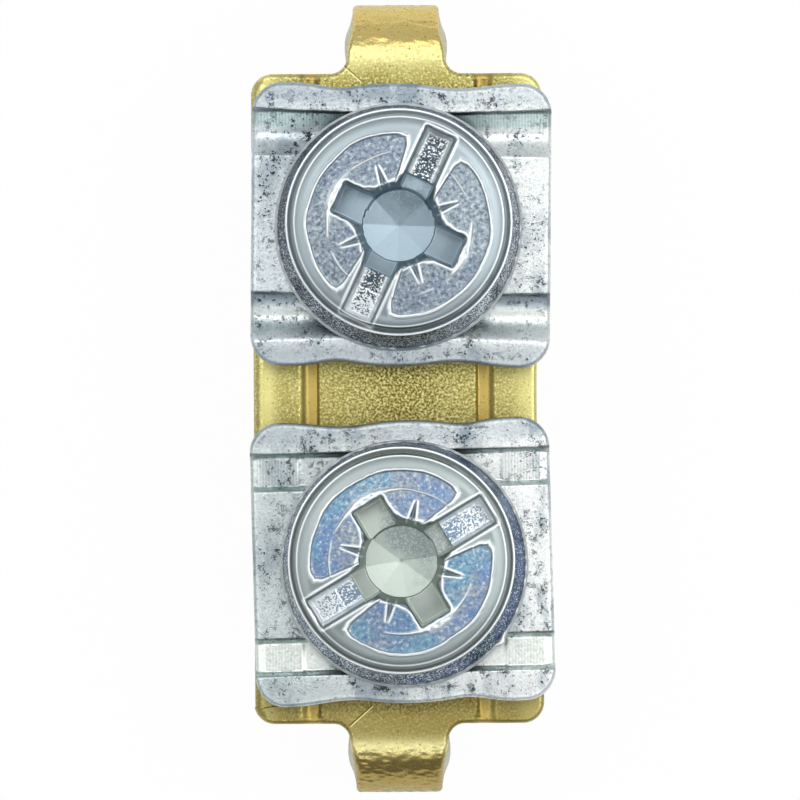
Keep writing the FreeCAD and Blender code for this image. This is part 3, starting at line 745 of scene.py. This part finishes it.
def box_distance(x, y, half_x, half_y, corner):
    """The signed distance to a rectangle with rounded corners, negative inside."""
    dx = np.abs(x) - half_x + corner
    dy = np.abs(y) - half_y + corner
    return np.hypot(np.maximum(dx, 0.0), np.maximum(dy, 0.0)) + np.minimum(np.maximum(dx, dy), 0.0) - corner


def join_softly(first, second, reach):
    """The nearer of two distances, rounded where they are within reach of each other."""
    share = np.clip(0.5 + 0.5 * (second - first) / reach, 0.0, 1.0)
    return second * (1.0 - share) + first * share - reach * share * (1.0 - share)


def wall_depth(inside, bevel, run, depth):
    """Depth of a sunk wall at a distance inside its mouth: a bevel, then a straight wall, then a floor."""
    lip = np.clip(inside / bevel, 0.0, 1.0) * 0.6 * bevel
    return lip + np.clip((inside - bevel) / run, 0.0, 1.0) * (depth - 0.6 * bevel)


def turned_head(r):
    """Height of the head over its underside before the punch: a crown, a plain band, a valley and a rim.

    The crown is a shallow bowl turned over. The band slopes from it to a quarter ellipse that drops to the
    valley, and the rim outside that is a low bead.
    """
    crown = head_crown - crown_fall * (np.minimum(r, plateau_radius) / plateau_radius) ** 2
    on_band = np.clip((r - plateau_radius) / (band_radius - plateau_radius), 0.0, 1.0)
    crown = crown - band_fall * on_band ** 1.6
    over = np.clip((r - band_radius) / (valley_radius - band_radius), 0.0, 1.0)
    height = crown - (crown - rim_height) * (1.0 - np.sqrt(1.0 - over ** 2))
    return height + bead_height * bump_at(r, rim_radius - 0.01, 0.05)


def cross_recess(x, y, r, phi, crumble):
    """Depth of the cross recess, and the signed distance to its mouth.

    The arms, the round well between them and the wide mouth are each cut to their own depth, and the
    deepest counts. The pit in the middle has eight facets, which fall towards its centre.
    """
    long_arm = box_distance(x, y, *long_arm_half, 0.1)
    cross_arm = box_distance(x, y, *cross_arm_half, 0.14)
    mouth = join_softly(join_softly(long_arm, cross_arm, 0.5), r - mouth_radius, 0.5) + 0.02 * crumble
    arms = wall_depth(-np.minimum(long_arm, cross_arm), 0.05, 0.06, recess_depth)
    well = wall_depth(well_radius - r, 0.04, 0.4, recess_depth + 0.12)
    recess = np.maximum(np.maximum(arms, well), wall_depth(-mouth, 0.06, 0.3, mouth_depth))
    facet = (phi + math.pi / 8.0) % (math.pi / 4.0) - math.pi / 8.0
    toward = r * np.cos(facet) / (pit_radius * math.cos(math.pi / 8.0))
    pit = recess_depth + 0.14 + pit_fall * (1.0 - toward)
    return np.where(r < pit_radius, np.maximum(recess, pit), recess), mouth


def quarter_ticks(x, y):
    """Depth of the four ticks between the arms, wedges that narrow outwards, and their raised lips."""
    tick = np.zeros_like(x)
    lips = np.zeros_like(x)
    for quarter in range(4):
        angle = math.radians(45.0 + 90.0 * quarter)
        out = x * math.cos(angle) + y * math.sin(angle)
        off = -x * math.sin(angle) + y * math.cos(angle)
        half = tick_half_width * np.clip((tick_end - out) / 0.7, 0.01, 1.0)
        live = ease(out, tick_start, tick_start + 0.15) * (1.0 - ease(out, tick_end - 0.1, tick_end + 0.02))
        tick = np.maximum(tick, tick_depth * np.clip(1.0 - np.abs(off) / half, 0.0, 1.0) * live)
        lips = np.maximum(lips, bump_at(np.abs(off), half + 0.05, 0.035) * live)
    return tick, lips


def head_top(r, phi, slot_turn, shift, sooty_slot, seed):
    """Height of the head's upper surface over its underside, and its marks, with the slot along phi = 0.

    Two pads are sunk beside the slot, with a coined ridge round them and a broken line across them. The
    slot, the recess and the ticks are cut out of the head, and the deepest counts. The punch that cuts them
    stood off the head's axis by shift. The valley carries painted shade, widest on the side that slot_turn
    brings to the bottom of the picture, and sooty_slot is how dirty the slot is towards its end at phi = 0.
    """
    height = turned_head(r)
    # Bright lines at the rim and the band's edge are painted highlights.
    rim_shine = bump_at(r, rim_radius - 0.01, 0.045) + 0.8 * bump_at(r, band_radius + 0.01, 0.022)
    low_side = 0.5 - 0.5 * np.sin(phi + slot_turn)
    # The valley's dark crescent is painted shade, wider on the side towards the bottom of the picture.
    valley = bump_at(r, valley_radius - 0.02 * low_side, 0.035 + 0.09 * low_side)

    x, y = r * np.cos(phi) - shift[0], r * np.sin(phi) - shift[1]
    r, phi = np.hypot(x, y), np.arctan2(y, x)
    wander = ripple(2.0 * np.cos(phi), 2.0 * np.sin(phi), 1.1, seed)
    crumble = ripple(x, y, 0.32, seed)

    pad_side = np.abs(y) - slot_half_width - 0.13 - 0.13 * np.maximum(r - 1.5, 0.0)
    pad_rim = plateau_radius - 0.06 + 0.04 * wander - r
    pad = np.minimum(pad_side, pad_rim) - 0.1 * bump_at(pad_side - pad_rim, 0.0, 0.25)
    in_pad = ease(pad, -0.03, 0.04)
    ridge = bump_at(pad + 0.01 * crumble, -0.045, 0.04)
    near_arm = bump_at(np.abs(x), 0.0, 0.8)
    wandering_r = r + 0.03 * wander + 0.03 * crumble * near_arm
    line = bump_at(wandering_r, line_radius, 0.03 + 0.08 * near_arm) * ease(np.abs(y), 0.72, 0.8)
    chip = line * np.clip(0.7 * ease(wander, -0.3, 0.1) + near_arm * (0.8 + 0.5 * crumble), 0.0, 1.0)
    relief = ridge_height * ridge - pad_depth * in_pad + 0.05 * chip

    slot_inside = -box_distance(x, y, slot_half_length, slot_half_width, 0.04)
    slot = wall_depth(slot_inside, 0.08, 0.1, slot_depth)
    slot -= 0.012 * bump_at(slot_inside, 0.23, 0.04)
    slot += 0.03 * bump_at(r, 2.32, 0.04) * (slot_inside > 0.2)
    recess, mouth = cross_recess(x, y, r, phi, crumble)
    tick, lips = quarter_ticks(x, y)
    cut = np.maximum(np.maximum(slot, recess), tick)
    uncut = cut < 0.03
    in_recess = recess >= slot
    burr = bump_at(np.minimum(-slot_inside, mouth), 0.03, 0.035) * (cut < 0.1)
    nose = ease(recess, 0.12, 0.3) * (1.0 - ease(recess, recess_depth - 0.12, recess_depth - 0.03))
    # A lighter band down the slot's walls is a painted highlight.
    slot_wall_highlight = bump_at(slot_inside, 0.18, 0.075) * ~in_recess
    raised = burr + lips + chip
    marks = {
        "pad": in_pad * (1.0 - np.clip(raised, 0.0, 1.0)) * uncut,
        # This share is partly punch polish and partly painted highlight on ridges, lips, burrs, the rim and
        # the slot's walls.
        "polish_and_highlight": np.clip(ridge * uncut + raised + rim_shine + slot_wall_highlight, 0.0, 1.0),
        "pit": (1.0 - ease(r, pit_radius - 0.02, pit_radius + 0.03)) * in_recess,
        "slot_floor": ease(slot, slot_depth - 0.06, slot_depth - 0.01) * ~in_recess,
        "recess": ease(recess, 0.1, 0.3) * in_recess,
        "shade": np.clip(valley + 0.55 * nose * in_recess
                         + 0.5 * ease(tick, 0.05, 0.12) * (recess < 0.1), 0.0, 1.0),
        "sooty": np.maximum(1.0 - ease(np.abs(x), 1.8, 2.9), sooty_slot * (x > 0.0)),
    }
    relief = (relief + 0.02 * lips) * (1.0 - ease(cut, 0.02, 0.12)) + 0.02 * burr
    return height + relief - cut, marks


def head_shell(which):
    """A screw's head as rings about its axis, turned to its slot's angle and set over its bore.

    The rings go over the top, down the tapered and rippled side, round the foot and in underneath. The side
    leans a little, because the blow was off centre. The foot of the lower screw has a burr at burr_angle.
    """
    seed = head_seeds[which]
    quarter = np.linspace(0.0, math.pi / 2, 12)
    r = np.concatenate([
        np.linspace(0.0, 1.16, 16, endpoint=False),
        np.linspace(1.16, 2.5, 62, endpoint=False),
        np.linspace(2.5, plateau_radius, 24, endpoint=False),
        np.linspace(plateau_radius, band_radius, 8, endpoint=False),
        valley_radius - (valley_radius - band_radius) * np.cos(quarter),
        np.linspace(valley_radius + 0.02, rim_radius + 0.05, 10),
    ])[:, None]
    phi = np.linspace(0.0, 2.0 * math.pi, head_points, endpoint=False)[None, :]
    slot_turn = math.radians(slot_angles[which])
    across, upwards = punch_shifts[which]
    shift = (across * math.cos(slot_turn) + upwards * math.sin(slot_turn),
             upwards * math.cos(slot_turn) - across * math.sin(slot_turn))
    r, top_phi = np.broadcast_arrays(r, phi)
    height, marks = head_top(r, top_phi, slot_turn, shift, sooty_slots[which], seed)

    down_side = np.linspace(0.0, 1.0, 12)[:, None]
    side_start = rim_radius + 0.07
    round_foot = [foot_radius - 0.07, foot_radius - 0.01, foot_radius, foot_radius, 3.97,
                  underside_radius, 3.0, 0.0]
    foot_heights = [0.185, 0.175, 0.14, 0.06, 0.02, 0.0, 0.0, 0.0]
    # A bright ring on the foot is a painted highlight.
    foot_shine = [0.7, 1.0, 0.5, 0.1, 0.0, 0.0, 0.0, 0.0]
    side_r = np.concatenate([side_start + (foot_radius - 0.08 - side_start) * down_side ** 0.9,
                             np.array(round_foot)[:, None]])
    side_z = np.concatenate([rim_height - 0.06 - (rim_height - 0.26) * down_side,
                             np.array(foot_heights)[:, None]])
    hammered = ripple(4.0 * np.cos(phi), 4.0 * np.sin(phi) + 2.0 * down_side, 0.33, seed)
    hammered = np.concatenate([hammered, np.zeros((len(round_foot), head_points))])
    side_r = side_r - 0.025 * np.clip(hammered + 0.3, 0.0, 1.0) * (side_r < foot_radius - 0.03)
    rings_r = np.concatenate([r, side_r])
    rings_z = np.concatenate([height, np.broadcast_to(side_z, side_r.shape)])
    marks = {name: np.concatenate([mark, np.zeros(side_r.shape)]) for name, mark in marks.items()}
    marks["side"] = np.zeros(rings_r.shape)
    # The side is painted dark, a painted reflection of dark surroundings.
    marks["side"][len(r):-len(round_foot)] = 1.0 - 0.8 * bump_at(down_side, 1.0, 0.05)
    marks["polish_and_highlight"][-len(round_foot):] = np.array(foot_shine)[:, None]
    turn = np.broadcast_to(phi, rings_r.shape) + slot_turn
    marks["rugged"] = 0.5 + 0.5 * np.cos(turn - math.radians(rugged_sides[which]))
    burr = foot_burrs[which] * bump_at(turn, math.radians(burr_angle), 0.04)
    burr = burr * (rings_z < 0.19) * (rings_r > 3.99)
    marks["polish_and_highlight"] = np.maximum(marks["polish_and_highlight"], 8.0 * burr)
    rings_r = rings_r + burr
    lean = np.clip(1.0 - rings_z / rim_height, 0.0, 1.0) * (rings_r > rim_radius)
    shift_x, shift_y = head_shifts[which]
    lean_x, lean_y = foot_leans[which]
    return np.stack([rings_r * np.cos(turn) + shift_x + lean_x * lean,
                     rings_r * np.sin(turn) + shift_y + lean_y * lean + screw_places[which],
                     rings_z + head_under], axis=-1), marks


def shank_shell(which):
    """A screw's threaded shank, closed at both ends.

    Its radius follows a helix: a ridge whose height is the distance to the nearest half pitch, with a plain
    runout under the head and a point that tapers in.
    """
    down = np.arange(0.0, shank_length + 0.001, thread_pitch / 11.0)[:, None]
    turn = np.linspace(0.0, 2.0 * math.pi, thread_points, endpoint=False)[None, :]
    phase = (down / thread_pitch + turn / (2.0 * math.pi)) % 1.0
    ridge = np.clip(1.15 * np.abs(2.0 * phase - 1.0) - 0.08, 0.0, 1.0)
    runout = ease(down, 0.5, 1.1)
    radius = thread_radius - thread_depth * (1.0 - ridge) * runout - 0.06 * (1.0 - runout)
    radius = np.minimum(radius, thread_radius - 0.55 * ease(down, shank_length - 0.7, shank_length))
    radius = np.concatenate([radius[:1] * 0.0, radius, radius[-1:] * 0.0])
    height = head_under + 0.02 - np.concatenate([down[:1], down, down[-1:]])
    rings = np.stack([radius * np.cos(turn), radius * np.sin(turn) + screw_places[which],
                      np.broadcast_to(height, radius.shape)], axis=-1)
    return rings, dict.fromkeys(screw_marks, 0.0)


def headed_steel(name, colours, seed):
    """Cold-headed steel, zinc plated and blue passivated: a bluish mirror whose film shows faint colours.

    The punch leaves the pads as rough as the wire's cut end, a grain of 0.12 mm, and polishes the ridges,
    and the ridges, the rim, the band's edge, the slot's walls and the foot carry a painted highlight
    besides. Painted shade darkens the noses, the ticks and the valley, and soot lies in the slot. The film
    is thick enough on the pads and the side to turn them blue. The side is painted dark, a painted
    reflection of dark surroundings, and its bright points of 0.065 mm are painted glints, most on its rugged
    side.
    """
    material, tree, where, shares = start_metal(name, screw_marks)
    shifted, elsewhere = (
        add_node(tree, "Mapping", {}, {
            "Vector": where, "Location": (step_x * seed, step_y * seed, 0.0)}).outputs["Vector"]
        for step_x, step_y in ((0.001, 0.003), (0.004, 0.0017)))
    clouds, drift, grain, salt = (
        add_node(tree, "TexNoise", {}, {
            "Vector": place, "Scale": 1000 / width, "Detail": detail, "Roughness": roughness}).outputs["Fac"]
        for place, width, detail, roughness in (
            (shifted, 1.7, 4.0, 0.6), (elsewhere, 2.1, 4.0, 0.6),
            (shifted, 0.12, 3.0, 0.6), (elsewhere, 0.065, 1.5, 0.5)))
    # The side's bright points, spread by salt and gathered on the rugged side, are painted glints.
    sooted, glint_scatter = (
        add_node(tree, "Math", {"operation": "MULTIPLY_ADD"}, {0: shares[mark], 1: gain, 2: salt}).outputs[0]
        for mark, gain in (("sooty", 0.12), ("rugged", 0.13)))
    across = add_node(tree, "SeparateXYZ", {}, {"Vector": where}).outputs["X"]
    for share, pattern, none, full in (
            ("film", clouds, 0.42, 0.58), ("tinge", drift, 0.5, 0.6), ("speck", grain, 0.48, 0.66),
            ("glint", grain, 0.43, 0.34), ("crumb", sooted, 0.51, 0.6), ("side_glint", glint_scatter, 0.63, 0.67),
            ("right", across, -0.003, 0.001)):
        shares[share] = add_node(tree, "MapRange", {}, {
            "Value": pattern, "From Min": none, "From Max": full}).outputs["Result"]
    shares["dirt"] = add_node(tree, "Math", {"operation": "MULTIPLY"}, {
        0: shares["crumb"], 1: shares["tinge"]}).outputs[0]
    pad = lay_over(tree, colours["pad"], shares, [
        ("film", 1.0, colours["film"]), ("tinge", 1.0, colours["tinge"]),
        ("glint", 1.0, "#bac4ca"), ("speck", 1.0, colours["speck"])])
    slot = lay_over(tree, "#f2f6f6", shares, [("crumb", 1.0, colours["crumb"])])
    recess = lay_over(tree, colours["arm"], shares, [("pit", 1.0, colours["pit"]), ("dirt", 0.5, "#667680")])
    side = lay_over(tree, colours["side_left"], shares, [
        ("right", 1.0, colours["side_right"]), ("film", 1.0, colours["side_film"]),
        ("side_glint", 1.0, "#e3e9ec")])
    surface = lay_over(tree, colours["plain"], shares, [
        ("pad", 1.0, pad), ("slot_floor", 1.0, slot), ("recess", 1.0, recess),
        ("shade", 0.75, colours["shade"]), ("polish_and_highlight", 1.0, "#eef3f4"), ("side", 1.0, side)])
    coarse = shares["pad"]
    for area in ("slot_floor", "side"):
        coarse = add_node(tree, "Math", {"operation": "ADD", "use_clamp": True}, {
            0: coarse, 1: shares[area]}).outputs[0]
    rough = add_node(tree, "MapRange", {}, {
        "Value": coarse, "To Min": 0.34, "To Max": 0.42}).outputs["Result"]
    swing = add_node(tree, "Math", {"operation": "MULTIPLY_ADD"}, {0: coarse, 1: 0.7, 2: 0.2}).outputs[0]
    relief = add_node(tree, "Bump", {}, {"Strength": swing, "Distance": 0.00002, "Height": grain})
    end_metal(tree, surface, rough, relief.outputs["Normal"])
    return material


for which in screw_places:
    screw = make_piece(which + "_pan_head_screw", [head_shell(which), shank_shell(which)])
    screw_steel = headed_steel(which + "_headed_steel", screw_colours[which], film_seeds[which])
    screw.data.materials.append(screw_steel)
    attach(screw, which + "_turning_screw")
    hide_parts(which + "_screw")


# Floor
# A plain white studio table, not part of the terminal. It reads as white to the camera and in the metal, and
# keeps a trace of the terminal's shadow.

floor_reach = 0.6
floor_corners = [(x * floor_reach, y * floor_reach, 0.0) for x, y in ((-1, -1), (1, -1), (1, 1), (-1, 1))]
floor_mesh = bpy.data.meshes.new("white_floor")
floor_mesh.from_pydata(floor_corners, [], [(0, 1, 2, 3)])
floor = bpy.data.objects.new("white_floor", floor_mesh)
bpy.context.scene.collection.objects.link(floor)
white_card = bpy.data.materials.new("white_card")
white_card.use_nodes = True
card = white_card.node_tree
card.nodes.clear()
paper = add_node(card, "BsdfPrincipled", {}, {"Base Color": "#f4f4f2", "Roughness": 0.9})
glow = add_node(card, "Emission", {}, {"Color": "#ffffff", "Strength": 1.0})
rays = add_node(card, "LightPath", {}, {})
seen = add_node(card, "Math", {"operation": "MULTIPLY"}, {0: rays.outputs["Is Camera Ray"], 1: 0.97})
both = add_node(card, "MixShader", {}, {0: seen.outputs[0], 1: paper.outputs[0], 2: glow.outputs[0]})
add_node(card, "OutputMaterial", {}, {"Surface": both.outputs[0]})
floor_mesh.materials.append(white_card)


# Studio light
# A pale grey room, dimmer behind the camera, dark low on the near side and bright low on the far side. It
# has four soft boxes: a wide one beyond the picture's top, one on each side, a narrow one on the near side.

lamp_distance = 0.32
world = bpy.data.worlds.new("studio_room")
bpy.context.scene.world = world
world.use_nodes = True
room = world.node_tree
room.nodes.clear()
way = add_node(room, "SeparateXYZ", {}, {"Vector": add_node(room, "TexCoord", {}, {}).outputs["Generated"]})
near_wall, far_wall, overhead = (
    add_node(room, "MapRange", {}, {
        "Value": way.outputs[axis], "From Min": start, "From Max": end, "To Min": low, "To Max": high})
    for axis, start, end, low, high in (
        ("Y", -0.94, -0.66, 0.28, 0.55), ("Y", 0.6, 0.85, 0.0, 0.3), ("Z", 0.99, 0.94, 0.7, 1.0)))
walls = add_node(room, "Math", {"operation": "ADD"}, {0: near_wall.outputs[0], 1: far_wall.outputs[0]})
wall_light = add_node(room, "Math", {"operation": "MULTIPLY"}, {0: walls.outputs[0], 1: overhead.outputs[0]})
lit_room = add_node(room, "Background", {}, {"Color": "#e4e8ec", "Strength": wall_light.outputs[0]})
backdrop = add_node(room, "Background", {}, {"Color": "#ffffff", "Strength": 1.0})
to_camera = add_node(room, "LightPath", {}, {}).outputs["Is Camera Ray"]
mixed = add_node(room, "MixShader", {}, {0: to_camera, 1: lit_room.outputs[0], 2: backdrop.outputs[0]})
add_node(room, "OutputWorld", {}, {"Surface": mixed.outputs[0]})


def soft_box(name, across, tilt, width, height, power):
    """An area lamp aimed at the terminal, tilted away from overhead by tilt towards the direction across."""
    lamp = bpy.data.lights.new(name, "AREA")
    lamp.shape = "RECTANGLE"
    lamp.size = width
    lamp.size_y = height
    lamp.energy = power
    stand = bpy.data.objects.new(name, lamp)
    aim = Matrix.Rotation(math.radians(across), 4, "Z") @ Matrix.Rotation(math.radians(tilt), 4, "X")
    stand.matrix_world = aim @ Matrix.Translation((0.0, 0.0, lamp_distance))
    bpy.context.scene.collection.objects.link(stand)


soft_box("far_box", 180.0, 22.0, 0.36, 0.18, 0.32)
soft_box("right_box", 90.0, 32.0, 0.26, 0.16, 0.25)
soft_box("left_box", -90.0, 34.0, 0.26, 0.16, 0.14)
soft_box("near_box", 0.0, 29.0, 0.22, 0.09, 0.09)


# Camera
# Straight above the terminal at 350 mm, turned by 0.29 degrees as the bar lies in the photograph. At the
# height of the bar's top the picture is as wide as view_width.

view_distance = 0.35
view_width = 0.02645
view_turn = -0.29
view_centre = (0.00008, -0.00005)
film_width = 36.0
camera_data = bpy.data.cameras.new("camera")
camera_data.sensor_width = film_width
camera_data.lens = film_width * (view_distance - 0.001 * strip_top) / view_width
camera = bpy.data.objects.new("camera", camera_data)
camera.matrix_world = (Matrix.Rotation(math.radians(view_turn), 4, "Z")
                       @ Matrix.Translation((*view_centre, view_distance)))
bpy.context.scene.collection.objects.link(camera)
bpy.context.scene.camera = camera
bpy.context.scene.view_settings.view_transform = "Standard"
